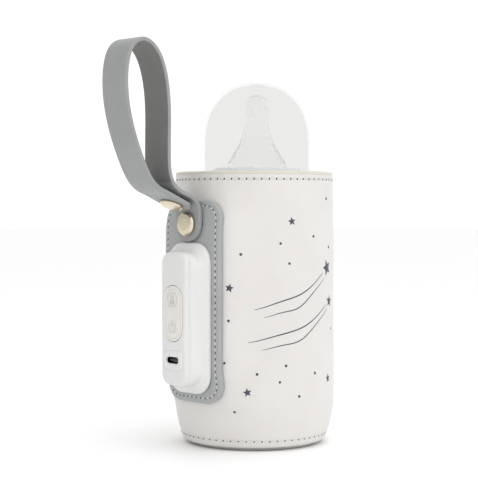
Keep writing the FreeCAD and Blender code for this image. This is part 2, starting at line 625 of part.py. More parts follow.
# ---------------------------------------------------------------- the bottle
def make_bottle():
    """Bottle, screw collar, teat and the dome that covers it, all on the bottle's own axis."""
    axis = "bottle_y"
    wall = "bottle_wall"
    keep("bottle_body", turned("bottle", [
        ("0", "bottle_low"), ("bottle_rad - 4", "bottle_low"), ("bottle_rad", "bottle_low + 4"),
        ("bottle_rad", "shoulder_z"), ("neck_rad", "shoulder_z + 11"), ("neck_rad", "neck_top"),
        ("neck_rad - " + wall, "neck_top"), ("neck_rad - " + wall, "shoulder_z + 10.2"),
        ("bottle_rad - " + wall, "shoulder_z - 0.6"), ("bottle_rad - " + wall, "bottle_low + 5"),
        ("bottle_rad - 5", "bottle_low + " + wall), ("0", "bottle_low + " + wall)],
        {1: ("4.2", 1)}, axis))
    grip = "neck_rad + 0.4"
    keep("bottle_collar", turned("collar", [
        (grip, "collar_low"), ("collar_rad - 0.6", "collar_low"), ("collar_rad", "collar_low + 0.6"),
        ("collar_rad", "ledge_z - 0.6"), ("collar_rad - 0.6", "ledge_z"), ("boss_rad", "ledge_z"),
        ("boss_rad", "collar_top - 1.6"), ("boss_rad - 1.6", "collar_top"), ("teat_rad + 1.4", "collar_top"),
        ("teat_rad + 0.9", "collar_top - 0.5"), ("teat_rad + 0.9", "collar_top - 1.8"),
        (grip, "collar_top - 1.8")], {6: ("1.7", 1)}, axis))
    rim = "neck_rad - 0.2"
    keep("teat", turned("teat_form", [
        ("teat_rad - 2.6", "neck_top + 0.4"), (rim, "neck_top + 0.4"), (rim, "collar_top - 2"),
        ("teat_rad", "collar_top - 2"), ("teat_rad", "collar_top + 2.6"), ("teat_rad - 1", "collar_top + 3.6"),
        ("tip_rad + 6", "collar_top + 5"), ("tip_rad + 4.6", "collar_top + 13"), ("tip_rad", "collar_top + 20.5"),
        ("tip_rad", "teat_top - 5.5"), ("1.2", "teat_top"), ("1.2", "teat_top - teat_wall"),
        ("tip_rad - teat_wall", "teat_top - 6"), ("tip_rad - teat_wall", "collar_top + 19.5"),
        ("tip_rad + 3.2", "collar_top + 12"), ("teat_rad - 3.8", "collar_top + 3")],
        {9: ("6.2", 1)}, axis))
    make_dome()


def dome_form(name, inset, low):
    """A solid with a straight side and an elliptical top, drawn in by inset."""
    side = doc.addObject("Part::Cylinder", name + "_side")
    bind(side, "Radius", "dome_rad - %s" % inset)
    bind(side, "Height", "dome_shoulder - (%s)" % low)
    place(side, "0", "bottle_y", low)
    top = doc.addObject("Part::Ellipsoid", name + "_top")
    bind(top, "Radius1", "dome_top - dome_shoulder - %s" % inset)
    bind(top, "Radius2", "dome_rad - %s" % inset)
    bind(top, "Radius3", "dome_rad - %s" % inset)
    top.Angle1 = 0
    place(top, "0", "bottle_y", "dome_shoulder")
    return fuse(name, [side, top])


def make_dome():
    """The clear cap over the teat, standing on the collar's ledge."""
    shell = cut("dome", dome_form("dome_outside", "0", "ledge_z + 0.4"),
                [dome_form("dome_inside", "dome_wall", "ledge_z - 1")])
    keep("dome_cap", shell)


def report_state():
    """Stop if any object failed, and give every sub-part's shape a last check."""
    doc.recompute()
    failed = [o.Name for o in doc.Objects if "Invalid" in o.State or "Error" in o.State]
    if failed:
        raise SystemExit("failed objects: %s" % failed)
    for name, obj in parts.items():
        shape = obj.Shape
        if shape.isNull() or not shape.isValid() or not shape.Solids:
            raise SystemExit("bad shape: %s" % name)
        print("%-20s solids %d volume %9.1f" % (name, len(shape.Solids), shape.Volume))


def write_parts():
    """One STEP file for each sub-part."""
    os.makedirs("parts", exist_ok=True)
    for name, obj in parts.items():
        obj.Shape.exportStep("parts/%s.step" % name)


leads_passage = lead_hole()
make_sleeve(leads_passage)
make_heater_parts()
make_patch(leads_passage)
make_case()
make_electronics()
make_buttons()
make_strap()
make_bottle()
report_state()
write_parts()
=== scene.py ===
import math

import bmesh
import bpy
import numpy as np
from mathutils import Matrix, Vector


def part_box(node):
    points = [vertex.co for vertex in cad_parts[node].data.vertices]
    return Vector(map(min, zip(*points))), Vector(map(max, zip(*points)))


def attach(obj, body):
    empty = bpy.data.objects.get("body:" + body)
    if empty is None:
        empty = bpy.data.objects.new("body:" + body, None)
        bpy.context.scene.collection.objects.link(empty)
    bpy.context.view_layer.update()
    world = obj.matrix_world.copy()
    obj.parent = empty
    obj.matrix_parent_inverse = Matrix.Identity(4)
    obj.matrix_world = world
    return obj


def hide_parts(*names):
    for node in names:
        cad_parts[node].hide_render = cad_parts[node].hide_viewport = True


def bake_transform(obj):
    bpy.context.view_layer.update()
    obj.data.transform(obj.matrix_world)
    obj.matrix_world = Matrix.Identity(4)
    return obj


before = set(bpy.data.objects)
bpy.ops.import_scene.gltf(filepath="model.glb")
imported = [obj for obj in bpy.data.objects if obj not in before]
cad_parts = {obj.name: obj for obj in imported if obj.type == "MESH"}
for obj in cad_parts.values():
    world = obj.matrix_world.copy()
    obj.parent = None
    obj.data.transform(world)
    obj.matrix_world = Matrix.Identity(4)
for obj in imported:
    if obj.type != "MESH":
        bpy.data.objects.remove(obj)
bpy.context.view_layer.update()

MM = 0.001

# ---- places read from the frame
SKIN_LOW, SKIN_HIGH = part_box("outer_sleeve")
SIDE = SKIN_HIGH.x  # radius of the sleeve's straight wall
FLAT = -SKIN_LOW.y  # distance of the flat panel from the axis
FOOT_Z = SKIN_LOW.z
RIM_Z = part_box("top_binding")[1].z
RIM_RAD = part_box("top_binding")[1].x
BORE_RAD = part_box("inner_lining")[1].x - 1.0 * MM
PATCH_LOW, PATCH_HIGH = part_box("patch_face")
PATCH_FRONT = -PATCH_LOW.y
CASE_LOW, CASE_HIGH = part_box("case_front")
KEYS_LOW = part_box("power_button")[0]
KEYS_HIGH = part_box("mode_button")[1]
PAD_FRONT = -KEYS_LOW.y
PAD_MID_Z = (KEYS_LOW.z + KEYS_HIGH.z) / 2
USB_LOW, USB_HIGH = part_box("usb_shell")
USB_Z = (USB_LOW.z + USB_HIGH.z) / 2
RIVET_LOW, RIVET_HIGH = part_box("rivet_cap")
RIVET_Z = (RIVET_LOW.z + RIVET_HIGH.z) / 2
CAP_RAD = RIVET_HIGH.x
TAB_LOW, TAB_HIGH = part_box("strap_tab")
STRAP_HALF = TAB_HIGH.x
STRAP_THICK = TAB_HIGH.y - TAB_LOW.y
DOME_LOW, DOME_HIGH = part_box("dome_cap")
BOTTLE_Y = (DOME_LOW.y + DOME_HIGH.y) / 2
DOME_RAD = DOME_HIGH.x

TAPER_TOP = 27.0 * MM
TAPER_ARC = 65.0 * MM
CONE_START = RIM_Z - 45.0 * MM
SKIN = 1.2 * MM


# ---- small numeric helpers
def smooth(x, low, high):
    """0 below low, 1 above high, smooth between."""
    t = np.clip((np.asarray(x, float) - low) / (high - low), 0, 1)
    return t * t * (3 - 2 * t)


def run_along(points):
    """How far along a polyline each of its points is."""
    return np.concatenate([[0], np.cumsum(np.linalg.norm(np.diff(points, axis=0), axis=1))])


def natural_spline(points, count):
    """count points evenly spaced on the natural cubic spline through points."""
    points = np.array(points, float)
    knots = run_along(points)
    gaps = np.diff(knots)[:, None]
    slopes = np.diff(points, axis=0) / gaps
    system = np.eye(len(points))
    right = np.zeros_like(points)
    for i in range(1, len(points) - 1):
        before, after = gaps[i - 1, 0], gaps[i, 0]
        system[i, i - 1:i + 2] = before, 2 * (before + after), after
        right[i] = 6 * (slopes[i] - slopes[i - 1])
    bend = np.linalg.solve(system, right)
    fine = np.linspace(0, knots[-1], 40 * len(points))
    i = np.clip(np.searchsorted(knots, fine) - 1, 0, len(knots) - 2)
    b = (fine - knots[i])[:, None] / gaps[i]
    a = 1 - b
    curve = (a * points[i] + b * points[i + 1]
             + ((a ** 3 - a) * bend[i] + (b ** 3 - b) * bend[i + 1]) * gaps[i] ** 2 / 6)
    run = run_along(curve)
    even = np.linspace(0, run[-1], count)
    return np.stack([np.interp(even, run, column) for column in curve.T], axis=1)


def circle(count):
    """count angles, evenly spaced round a full turn."""
    return np.linspace(0, 2 * math.pi, count, endpoint=False)


def hoop(radius, theta, z, centre_y=0.0):
    """A level ring of points round (0, centre_y), at angles from -Y towards +X."""
    radius = np.broadcast_to(radius, len(theta))
    return [(r * math.sin(a), centre_y - r * math.cos(a), z) for r, a in zip(radius, theta)]


def oval(centre, first, second, first_half, second_half, count):
    """A ring of points round centre, with its half axes along two directions."""
    return [centre + first * (first_half * math.cos(a)) + second * (second_half * math.sin(a))
            for a in circle(count)]


def in_metres(points):
    """Points in mm as points in metres."""
    return [tuple(number * MM for number in point) for point in points]


# ---- mesh helpers
def mesh_piece(name, verts, faces, material):
    """A new smooth object from points and faces."""
    mesh = bpy.data.meshes.new(name)
    mesh.from_pydata([tuple(v) for v in verts], [], faces)
    mesh.validate()
    piece = bpy.data.objects.new(name, mesh)
    bpy.context.scene.collection.objects.link(piece)
    mesh.materials.append(material)
    mesh.polygons.foreach_set("use_smooth", [True] * len(mesh.polygons))
    outward(piece)
    return piece


def outward(piece):
    """Make the faces' normals point out."""
    work = bmesh.new()
    work.from_mesh(piece.data)
    bmesh.ops.recalc_face_normals(work, faces=work.faces)
    work.to_mesh(piece.data)
    work.free()


def ring_faces(rings, count, closed=False):
    """Quads between rings of count points; closed joins the last ring to the first."""
    faces = []
    for r in range(rings if closed else rings - 1):
        low = r * count
        high = ((r + 1) % rings) * count
        for i in range(count):
            j = (i + 1) % count
            faces.append((low + i, low + j, high + j, high + i))
    return faces


def ring_piece(name, rings, material, closed=False, caps=True):
    """A piece lofted through rings of equal counts, capped at both ends unless closed."""
    count = len(rings[0])
    verts = [p for ring in rings for p in ring]
    faces = ring_faces(len(rings), count, closed)
    if caps and not closed:
        faces.append(tuple(range(count))[::-1])
        faces.append(tuple(range((len(rings) - 1) * count, len(rings) * count)))
    return mesh_piece(name, verts, faces, material)


def supported(profile, near=0.3 * MM):
    """The closed profile with extra points near the ends of its long straight stretches."""
    path = []
    for here, there in zip(profile, profile[1:] + profile[:1]):
        here, there = np.array(here, float), np.array(there, float)
        length = np.linalg.norm(there - here)
        path.append(tuple(here))
        if length > 4 * near:
            way = (there - here) / length * near
            path += [tuple(here + way), tuple(there - way)]
    return path


def lathe(name, profile, material, centre_y=0.0, turns=128):
    """A closed profile of (radius, height) turned about a vertical axis through (0, centre_y)."""
    rings = [hoop(radius, circle(turns), height, centre_y) for radius, height in supported(list(profile))]
    piece = ring_piece(name, rings, material, closed=True)
    weld(piece, 1e-6)
    sharpen(piece, 38)
    return piece


def weld(piece, distance):
    """Merge points closer than distance, and drop the faces that this flattens."""
    work = bmesh.new()
    work.from_mesh(piece.data)
    bmesh.ops.remove_doubles(work, verts=work.verts, dist=distance)
    bmesh.ops.dissolve_degenerate(work, edges=work.edges, dist=distance * 0.5)
    bmesh.ops.delete(work, geom=[edge for edge in work.edges if edge.is_wire], context="EDGES")
    bmesh.ops.recalc_face_normals(work, faces=work.faces)
    work.to_mesh(piece.data)
    work.free()


def rounded_path(points, radius, steps=4):
    """A polyline's corners rounded: each inner corner becomes a short curve."""
    points = [np.array(p, float) for p in points]
    path = [points[0]]
    for before, corner, after in zip(points, points[1:], points[2:]):
        into = corner - before
        out = after - corner
        reach = min(radius, np.linalg.norm(into) * 0.45, np.linalg.norm(out) * 0.45)
        start = corner - into / np.linalg.norm(into) * reach
        end = corner + out / np.linalg.norm(out) * reach
        for t in np.linspace(0, 1, steps):
            path.append((1 - t) ** 2 * start + 2 * t * (1 - t) * corner + t * t * end)
    path.append(points[-1])
    return [tuple(p) for p in path]


def rounded_rect(half_x, half_z, radius, count):
    """count points, evenly spaced, round a rectangle with round corners, centred on (0, 0)."""
    radius = max(min(radius, half_x, half_z), 1e-6)
    flat_x, flat_z = half_x - radius, half_z - radius
    arc = math.pi / 2 * radius
    corners = [(flat_x, flat_z), (-flat_x, flat_z), (-flat_x, -flat_z), (flat_x, -flat_z)]
    points = []
    for distance in np.linspace(0, 4 * (flat_x + flat_z + arc), count, endpoint=False):
        side = 0
        straight = 2 * flat_z
        while distance > straight + arc + 1e-12:
            distance -= straight + arc
            side += 1
            straight = 2 * (flat_x if side % 2 else flat_z)
        start = math.pi / 2 * side
        turn = start + max(distance - straight, 0) / radius
        back = max(straight - distance, 0)
        points.append((corners[side][0] + radius * math.cos(turn) + back * math.sin(start),
                       corners[side][1] + radius * math.sin(turn) - back * math.cos(start)))
    return points


def carve(piece, tool):
    """Cut tool out of piece, and remove the tool."""
    cut = piece.modifiers.new("cut", "BOOLEAN")
    cut.operation = "DIFFERENCE"
    cut.solver = "EXACT"
    cut.object = tool
    bpy.context.view_layer.update()
    evaluated = piece.evaluated_get(bpy.context.evaluated_depsgraph_get())
    mesh = bpy.data.meshes.new_from_object(evaluated)
    piece.modifiers.remove(cut)
    piece.data = mesh
    bpy.data.objects.remove(tool)


# ---- materials
def new_material(name):
    material = bpy.data.materials.new(name)
    material.use_nodes = True
    tree = material.node_tree
    return material, tree, tree.nodes["Principled BSDF"]


def set_inputs(node, **values):
    """Set a node's inputs by name, with _ for each space."""
    for key, value in values.items():
        node.inputs[key.replace("_", " ")].default_value = value


def add_node(tree, kind, **values):
    """A node with its inputs set by name."""
    node = tree.nodes.new(kind)
    set_inputs(node, **values)
    return node


def object_coords(tree):
    return add_node(tree, "ShaderNodeTexCoord").outputs["Object"]


def bump_chain(tree, shader, layers):
    """Bump from (height socket, strength, distance) layers, one on the other."""
    normal = None
    for height, strength, distance in layers:
        bump = add_node(tree, "ShaderNodeBump", Strength=strength, Distance=distance)
        tree.links.new(height, bump.inputs["Height"])
        if normal is not None:
            tree.links.new(normal, bump.inputs["Normal"])
        normal = bump.outputs["Normal"]
    tree.links.new(normal, shader.inputs["Normal"])


def noise(tree, scale, detail=3.0, rough=0.55):
    node = add_node(tree, "ShaderNodeTexNoise", Scale=scale, Detail=detail, Roughness=rough)
    tree.links.new(object_coords(tree), node.inputs["Vector"])
    return node.outputs["Fac"]


def cells(tree, scale):
    node = add_node(tree, "ShaderNodeTexVoronoi", Scale=scale)
    node.feature = "DISTANCE_TO_EDGE"
    tree.links.new(object_coords(tree), node.inputs["Vector"])
    return node.outputs["Distance"]


def ramp(tree, factor, low, high, start=0.0, end=1.0):
    """A colour ramp between two colours."""
    node = add_node(tree, "ShaderNodeValToRGB")
    node.color_ramp.elements[0].position = start
    node.color_ramp.elements[0].color = (*low, 1)
    node.color_ramp.elements[1].position = end
    node.color_ramp.elements[1].color = (*high, 1)
    tree.links.new(factor, node.inputs["Fac"])
    return node.outputs["Color"]


def spread(tree, factor, low, high):
    """Map a 0 to 1 factor to the range low to high."""
    node = add_node(tree, "ShaderNodeMapRange", To_Min=low, To_Max=high)
    tree.links.new(factor, node.inputs["Value"])
    return node.outputs["Result"]


def leather(name, light, dark, rough, grain, depth):
    """Grained polyurethane leather: small cells for the grain, slow noise for colour and sheen."""
    material, tree, shader = new_material(name)
    tree.links.new(ramp(tree, noise(tree, 45), dark, light, 0.3, 0.7), shader.inputs["Base Color"])
    tree.links.new(spread(tree, noise(tree, 160), rough - 0.05, rough + 0.07), shader.inputs["Roughness"])
    set_inputs(shader, Specular_IOR_Level=0.45, Sheen_Weight=0.06, Sheen_Roughness=0.4)
    bump_chain(tree, shader, [(noise(tree, 90, 2.0), 0.25, 0.0004),
                              (cells(tree, grain), depth, 0.00012),
                              (noise(tree, grain * 2.2, 2.0), depth * 0.6, 0.00006)])
    return material


def plastic(name, light, dark, rough, subsurface=0.0):
    """Moulded plastic: a faint orange-peel surface and an even colour."""
    material, tree, shader = new_material(name)
    tree.links.new(ramp(tree, noise(tree, 30), dark, light, 0.35, 0.65), shader.inputs["Base Color"])
    tree.links.new(spread(tree, noise(tree, 220), rough - 0.03, rough + 0.04), shader.inputs["Roughness"])
    set_inputs(shader, Subsurface_Weight=subsurface, Subsurface_Radius=(0.002, 0.0018, 0.0016),
               Subsurface_Scale=1.0)
    bump_chain(tree, shader, [(noise(tree, 1400, 2.0), 0.05, 0.00004)])
    return material


def metal(name, light, dark, rough):
    """Polished plating with faint wear in its roughness."""
    material, tree, shader = new_material(name)
    set_inputs(shader, Metallic=1.0)
    tree.links.new(ramp(tree, noise(tree, 260), dark, light, 0.3, 0.7), shader.inputs["Base Color"])
    wear = noise(tree, 900, 4.0)
    tree.links.new(spread(tree, wear, rough - 0.04, rough + 0.07), shader.inputs["Roughness"])
    bump_chain(tree, shader, [(noise(tree, 700, 3.0), 0.06, 0.00003)])
    return material


def clear(name, tint, rough, ior, weight, coat):
    """Clear moulded plastic or silicone with a faint haze."""
    material, tree, shader = new_material(name)
    deeper = tuple(part * 0.985 for part in tint)
    tree.links.new(ramp(tree, noise(tree, 40), deeper, tint), shader.inputs["Base Color"])
    tree.links.new(spread(tree, noise(tree, 130), rough * 0.7, rough * 1.4), shader.inputs["Roughness"])
    set_inputs(shader, Transmission_Weight=weight, IOR=ior, Coat_Weight=coat, Coat_Roughness=0.06)
    bump_chain(tree, shader, [(noise(tree, 60, 2.0), 0.03, 0.0002)])
    return material


def cloth(name, light, dark, pitch):
    """A plain weave: two crossed sets of waves."""
    material, tree, shader = new_material(name)
    coords = object_coords(tree)
    waves = []
    for direction in ("X", "Z"):
        wave = add_node(tree, "ShaderNodeTexWave", Scale=math.pi / pitch / 10)
        wave.bands_direction = direction
        tree.links.new(coords, wave.inputs["Vector"])
        waves.append(wave.outputs["Fac"])
    mix = add_node(tree, "ShaderNodeMath")
    mix.operation = "MULTIPLY"
    tree.links.new(waves[0], mix.inputs[0])
    tree.links.new(waves[1], mix.inputs[1])
    tree.links.new(ramp(tree, mix.outputs[0], dark, light, 0.0, 0.6), shader.inputs["Base Color"])
    set_inputs(shader, Roughness=0.85, Sheen_Weight=0.2)
    bump_chain(tree, shader, [(mix.outputs[0], 0.5, 0.0002)])
    return material


CREAM = leather("cream_leather", (0.715, 0.695, 0.672), (0.690, 0.668, 0.646), 0.44, 1500, 0.22)
BINDING = leather("cream_binding", (0.66, 0.64, 0.55), (0.62, 0.60, 0.51), 0.45, 1500, 0.2)
GREY = leather("grey_leather", (0.318, 0.328, 0.326), (0.292, 0.302, 0.300), 0.46, 1700, 0.25)
# painted shade: a darker strap leather for the loop's inner side, where the loop shades itself
LOOP_SHADE = leather("strap_inside_shade", (0.205, 0.205, 0.197), (0.185, 0.185, 0.178), 0.55, 1700, 0.3)
PATCH = leather("patch_leather", (0.385, 0.394, 0.400), (0.356, 0.366, 0.371), 0.42, 1700, 0.25)
BASE = leather("base_leather", (0.50, 0.49, 0.46), (0.46, 0.45, 0.42), 0.6, 1200, 0.3)
THREAD = leather("thread", (0.80, 0.79, 0.76), (0.66, 0.65, 0.62), 0.6, 5000, 0.5)
# painted shade: near black for the shade inside each needle hole
HOLE_SHADE = plastic("needle_hole_shade", (0.050, 0.048, 0.045), (0.03, 0.03, 0.028), 0.8)
PRINT = plastic("slate_print", (0.075, 0.085, 0.115), (0.06, 0.068, 0.092), 0.5)
WHITE = plastic("white_plastic", (0.735, 0.735, 0.728), (0.715, 0.715, 0.708), 0.24, 0.05)
# painted shade: the raised icons are the pad's silicone made greyer, standing in for the shading along their
# strokes
ICON_SHADE = plastic("icon_silicone_shade", (0.66, 0.64, 0.60), (0.64, 0.62, 0.58), 0.42, 0.1)
SILICONE = plastic("pad_silicone", (0.77, 0.745, 0.70), (0.75, 0.725, 0.68), 0.42, 0.1)
BLACK = plastic("black_plastic", (0.012, 0.012, 0.013), (0.008, 0.008, 0.009), 0.35)
TONGUE = plastic("tongue_plastic", (0.05, 0.05, 0.055), (0.04, 0.04, 0.045), 0.3)
COLLAR = plastic("collar_plastic", (0.90, 0.92, 0.96), (0.88, 0.90, 0.94), 0.3, 0.1)
GOLD = metal("champagne_metal", (0.75, 0.675, 0.53), (0.69, 0.615, 0.47), 0.16)
# painted shade: the charging socket's shell is made near black to stand for the shade inside the slot
SOCKET_SHADE_STEEL = metal("socket_shade_steel", (0.022, 0.022, 0.025), (0.016, 0.016, 0.018), 0.5)
PLAIN_STEEL = metal("plain_steel", (0.60, 0.60, 0.61), (0.52, 0.52, 0.53), 0.25)
DOME = clear("dome_plastic", (0.870, 0.868, 0.862), 0.05, 1.01, 1.0, 0.0)
TEAT = clear("teat_silicone", (0.995, 0.995, 0.993), 0.20, 1.035, 0.98, 0.05)
BOTTLE = clear("bottle_plastic", (0.95, 0.95, 0.955), 0.10, 1.40, 0.9, 0.2)
LINING = cloth("lining_cloth", (0.70, 0.70, 0.69), (0.58, 0.58, 0.57), 0.0008)
FOAM = cloth("foam", (0.80, 0.80, 0.77), (0.70, 0.70, 0.67), 0.0015)
FOIL = plastic("heater_foil", (0.55, 0.28, 0.06), (0.45, 0.22, 0.04), 0.3)
BOARD = plastic("stiff_board", (0.42, 0.42, 0.40), (0.38, 0.38, 0.36), 0.6)
CIRCUIT = plastic("circuit_green", (0.03, 0.20, 0.09), (0.02, 0.16, 0.07), 0.35)


# ---- camera, light and floor
VIEW_AZIMUTH = math.radians(45)
VIEW_DISTANCE = 0.780
VIEW_HEIGHT = 0.129
VIEW_LENS = 106.8
AIM = Vector((-0.0059, -0.0059, 0.1109))


def make_camera():
    """The camera, far off with a long lens and a little below the rim."""
    data = bpy.data.cameras.new("camera")
    data.lens = VIEW_LENS
    data.sensor_width = 36
    camera = bpy.data.objects.new("camera", data)
    camera.location = (VIEW_DISTANCE * math.sin(VIEW_AZIMUTH), -VIEW_DISTANCE * math.cos(VIEW_AZIMUTH),
                       VIEW_HEIGHT)
    camera.rotation_euler = (AIM - camera.location).to_track_quat("-Z", "Y").to_euler()
    bpy.context.scene.collection.objects.link(camera)
    bpy.context.scene.camera = camera


def area_light(name, azimuth, elevation, distance, size, power, shape=1.0):
    """A soft panel that looks at the object's middle."""
    data = bpy.data.lights.new(name, "AREA")
    data.shape = "RECTANGLE"
    data.size = size
    data.size_y = size * shape
    data.energy = power
    light = bpy.data.objects.new(name, data)
    turn = math.radians(azimuth)
    rise = math.radians(elevation)
    centre = Vector((0, 0, 0.1))
    way = Vector((math.sin(turn) * math.cos(rise), -math.cos(turn) * math.cos(rise), math.sin(rise)))
    light.location = centre + distance * way
    light.rotation_euler = (centre - light.location).to_track_quat("-Z", "Y").to_euler()
    bpy.context.scene.collection.objects.link(light)


def make_stage():
    """A pale floor, a bright even surround and three soft panels."""
    world = bpy.data.worlds.new("studio")
    world.use_nodes = True
    tree = world.node_tree
    background = tree.nodes["Background"]
    background.inputs["Color"].default_value = (1, 1, 1, 1)
    toward = add_node(tree, "ShaderNodeVectorMath")
    toward.operation = "DOT_PRODUCT"
    tree.links.new(add_node(tree, "ShaderNodeTexCoord").outputs["Generated"], toward.inputs[0])
    toward.inputs[1].default_value = (-0.70, -0.70, 0.10)
    dim = add_node(tree, "ShaderNodeMapRange", From_Min=0.25, From_Max=0.85, To_Min=1.12, To_Max=0.60)
    dim.interpolation_type = "SMOOTHSTEP"
    tree.links.new(toward.outputs["Value"], dim.inputs["Value"])
    tree.links.new(dim.outputs["Result"], background.inputs["Strength"])
    bpy.context.scene.world = world
    size = 6.0
    corners = [(-size, -size, 0), (size, -size, 0), (size, size, 0), (-size, size, 0)]
    white = plastic("floor_white", (0.96, 0.96, 0.96), (0.955, 0.955, 0.955), 0.7)
    floor = mesh_piece("floor", corners, [(0, 1, 2, 3)], white)
    area_light("key", 80, 40, 1.1, 0.8, 1.3, 1.4)
    area_light("fill", -25, 30, 1.2, 0.6, 0.4)
    area_light("top", 60, 82, 1.2, 0.9, 1.6)
    bpy.context.scene.view_settings.view_transform = "Standard"


# ---- the sleeve
HALF_FLAT = (PATCH_HIGH.x - PATCH_LOW.x) / 2
FLAT_CORNER = math.atan2(HALF_FLAT, FLAT)
FLAT_ROOT = math.radians(55.4)
RIM_STITCHES = 68
FOOT_STITCHES = 60
RIM_ROW = RIM_Z - 4.4 * MM
FOOT_ROW = FOOT_Z + 3.6 * MM


def round_radius(z):
    """Radius of the sleeve's round wall: an arc at the foot, straight, then a slight cone to the rim."""
    z = np.asarray(z, float)
    arc = SIDE - TAPER_ARC + np.sqrt(np.maximum(TAPER_ARC ** 2 - (TAPER_TOP - z) ** 2, 0))
    cone = SIDE + (RIM_RAD - SIDE) * np.clip((z - CONE_START) / (RIM_Z - CONE_START), 0, 1)
    return np.where(z < TAPER_TOP, arc, cone)


def sharp_bulge(theta):
    """How far the stiffener under the patch would push a taut skin out, at an angle from -Y."""
    turn = np.abs((np.asarray(theta, float) + math.pi) % (2 * math.pi) - math.pi)
    front = FLAT / np.cos(np.minimum(turn, 1.2)) - SIDE
    peak = FLAT / math.cos(FLAT_CORNER) - SIDE
    flank = peak * (1 - np.clip((turn - FLAT_CORNER) / (FLAT_ROOT - FLAT_CORNER), 0, 1)) ** 1.9
    return np.where(turn < FLAT_CORNER, np.minimum(front, peak), flank)


def flat_bulge(theta):
    """The same with the soft leather rounding the stiffener's corners."""
    theta = np.asarray(theta, float)
    steps = np.radians(np.linspace(-8, 8, 9))
    weights = np.cos(steps / np.radians(18) * math.pi)
    return sum(w * sharp_bulge(theta + d) for d, w in zip(steps, weights)) / weights.sum()


def flat_share(z):
    """How flat the panel is at a height: full behind the control box, round past the patch's ends."""
    z = np.asarray(z, float)
    up = (z - PATCH_LOW.z) / MM
    down = (PATCH_HIGH.z - z) / MM
    rise = 0.45 * smooth(up, -6, 3) + 0.55 * smooth(up, -1, 22)
    fall = 0.5 * smooth(down, -12, 2) + 0.5 * smooth(down, -4, 16)
    return rise * fall


def wall_radius(theta, z):
    """The skin's outer radius at an angle from -Y towards +X and a height."""
    theta = np.asarray(theta, float)
    z = np.asarray(z, float)
    radius = round_radius(z) + flat_bulge(theta) * flat_share(z)
    slack = 0.10 * MM * np.sin(3 * theta + 1.0) * np.sin(z * 55) + 0.06 * MM * np.sin(7 * theta + z * 90)
    drawn = 0.05 * MM * np.sin(theta * RIM_STITCHES / 2) * smooth(z, RIM_Z - 16 * MM, RIM_Z - 6 * MM)
    for row, stitches in ((RIM_ROW, RIM_STITCHES), (FOOT_ROW, FOOT_STITCHES)):
        groove = np.exp(-((z - row) / (0.75 * MM)) ** 2)
        radius = radius - groove * (0.20 + 0.13 * np.cos(theta * stitches)) * MM
    return radius + slack + drawn - 0.12 * MM


def wall_front(x, z):
    """Distances of the skin from the axis along -Y, at sideways places and heights."""
    theta = np.arcsin(x / SIDE)
    for _ in range(5):
        radius = round_radius(z) + flat_bulge(theta) * flat_share(z)
        theta = np.arcsin(x / radius)
    return radius * np.cos(theta)


def on_wall(theta, z, lift=0.0):
    """A point on the skin, lifted off it."""
    radius = float(wall_radius(theta, z)) + lift
    return (radius * math.sin(theta), -radius * math.cos(theta), z)


def make_skin():
    """The sleeve's outer skin: hem, wall with its flat panel, and the turn-in under the binding."""
    turns = 544
    theta = circle(turns)
    outer = [(2.9, 1.1), (2.9, 0.2), (2.4, -0.05), (0.9, -0.1), (0.3, 0.15), (0.05, 0.7)]
    rings = [(inset * MM, FOOT_Z + rise * MM) for inset, rise in outer]
    heights = np.concatenate([np.linspace(FOOT_Z + 1.4 * MM, FOOT_Z + 7.4 * MM, 22),
                              np.linspace(FOOT_Z + 9 * MM, RIM_Z - 9 * MM, 80),
                              np.linspace(RIM_Z - 8 * MM, RIM_Z - 1.9 * MM, 24)])
    rings += [(0.0, z) for z in heights]
    rings += [(0.5 * MM, RIM_Z - 1.6 * MM), (SKIN, RIM_Z - 2.0 * MM)]
    rings += [(SKIN, z) for z in np.linspace(RIM_Z - 6 * MM, FOOT_Z + 4 * MM, 12)]
    points = []
    for inset, z in rings:
        radius = wall_radius(theta, np.full(turns, max(z, FOOT_Z + 0.2 * MM))) - inset
        points.append(hoop(radius, theta, z))
    skin = ring_piece("sleeve_skin", points, CREAM, closed=True)
    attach(skin, "sleeve")
    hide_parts("outer_sleeve")


def make_foam():
    """The insulating core between the skin and the lining, following the skin's form."""
    turns = 272
    theta = circle(turns)
    low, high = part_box("insulation_foam")
    heights = np.linspace(low.z, high.z, 60)
    inner = BORE_RAD + 1.45 * MM
    rings = []
    for z in heights:
        radius = wall_radius(theta, np.full(turns, z)) - SKIN - 0.15 * MM
        rings.append(hoop(radius, theta, z))
    rings += [hoop(inner, theta, z) for z in heights[::-6]]
    foam = ring_piece("foam_core", rings, FOAM, closed=True)
    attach(foam, "sleeve")
    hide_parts("insulation_foam")


def capsule(start, end, out, radius, sink, sides=8, steps=7):
    """A stitch's thread from start to end, its middle lifted along out and its ends sunk in."""
    start, end, out = Vector(start), Vector(end), Vector(out).normalized()
    along = (end - start).normalized()
    across = along.cross(out)
    rings = []
    for t in np.linspace(0, 1, steps):
        arch = math.sin(math.pi * t)
        centre = start.lerp(end, t) + out * (arch * radius * 0.9 - (1 - arch) * sink)
        size = radius * (0.55 + 0.45 * math.sqrt(arch))
        rings.append(oval(centre, across, out, size, size * 0.8, sides))
    return rings


def merge_rings(name, shapes, material):
    """Many small lofted shapes as one mesh."""
    verts = []
    faces = []
    for rings in shapes:
        base = len(verts)
        count = len(rings[0])
        verts += [p for ring in rings for p in ring]
        faces += [tuple(base + i for i in face) for face in ring_faces(len(rings), count)]
        faces.append(tuple(base + i for i in range(count))[::-1])
        faces.append(tuple(base + (len(rings) - 1) * count + i for i in range(count)))
    return mesh_piece(name, verts, faces, material)


def dimple(centre, out, along, long_half, wide_half):
    """A needle hole: a small dark oval lens let into the leather, painted shade standing for the hole's dark
    inside.
    """
    centre, out, along = Vector(centre), Vector(out).normalized(), Vector(along).normalized()
    across = along.cross(out)
    rings = []
    for size, height in ((0.2, 0.10), (0.75, 0.08), (1.0, 0.0), (0.7, -0.25)):
        middle = centre + out * (height * MM)
        rings.append(oval(middle, along, across, long_half * size, wide_half * size, 10))
    return rings


